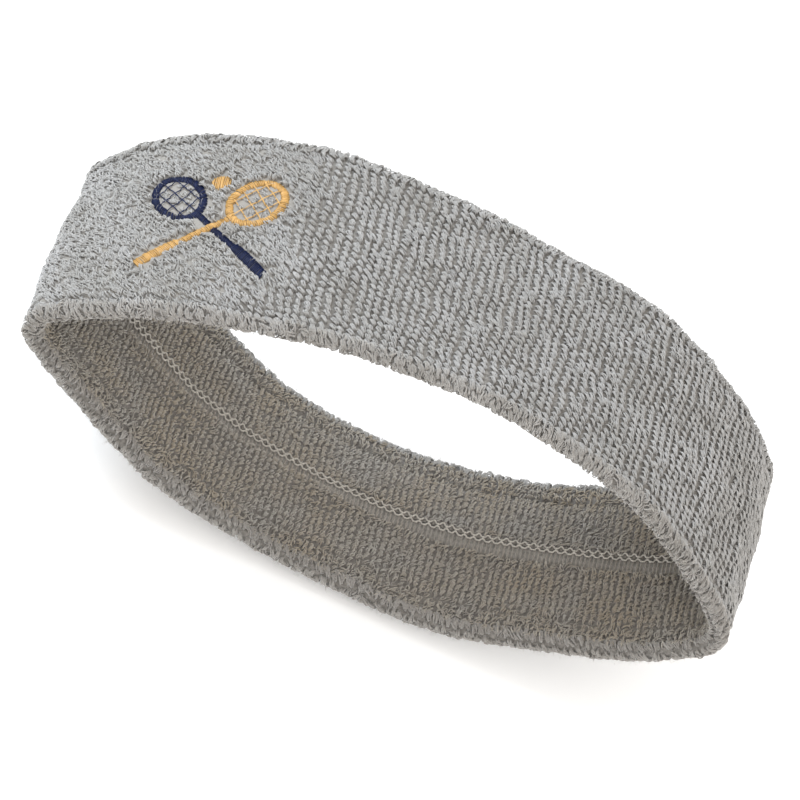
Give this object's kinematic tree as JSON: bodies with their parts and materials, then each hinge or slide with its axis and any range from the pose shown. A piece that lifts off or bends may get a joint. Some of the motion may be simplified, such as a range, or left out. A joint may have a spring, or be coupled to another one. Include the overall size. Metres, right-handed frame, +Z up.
{
  "type": "sports headband",
  "caption": "Double-ply knitted terry sports headband with an embroidered emblem, lying on its side as a flattened loop.",
  "frame": {"origin": "on the table under the middle of the loop, at the centre of the box's lower face", "axes": "+X along the long way of the flattened loop, +Y along the wearer's up direction across the band's width, +Z up from the table"},
  "size_m": [0.163, 0.05, 0.0745],
  "materials": {
    "terry": "looped cotton pile",
    "knit": "plain knit",
    "seam_thread": "textured thread",
    "elastic": "covered elastic yarn",
    "navy_thread": "satin stitch",
    "gold_thread": "satin stitch",
    "bobbin_thread": "fine thread",
    "backing": "non-woven stabiliser"
  },
  "bodies": {
    "root": {"face_terry": "terry", "upper_rim_terry": "terry", "lower_rim_terry": "terry", "upper_lining_terry": "terry", "lower_lining_terry": "terry", "ground_knit": "knit", "upper_welt": "knit", "lower_welt": "knit", "seam_needle_thread": "seam_thread", "seam_looper_thread": "seam_thread", "face_elastic_yarns": "elastic", "lining_elastic_yarns": "elastic", "navy_racket_satin": "navy_thread", "navy_strings": "navy_thread", "navy_underlay": "navy_thread", "gold_racket_satin": "gold_thread", "gold_ball_satin": "gold_thread", "gold_strings": "gold_thread", "gold_underlay": "gold_thread", "bobbin_thread": "bobbin_thread", "backing_patch": "backing"}
  },
  "joints": []
}
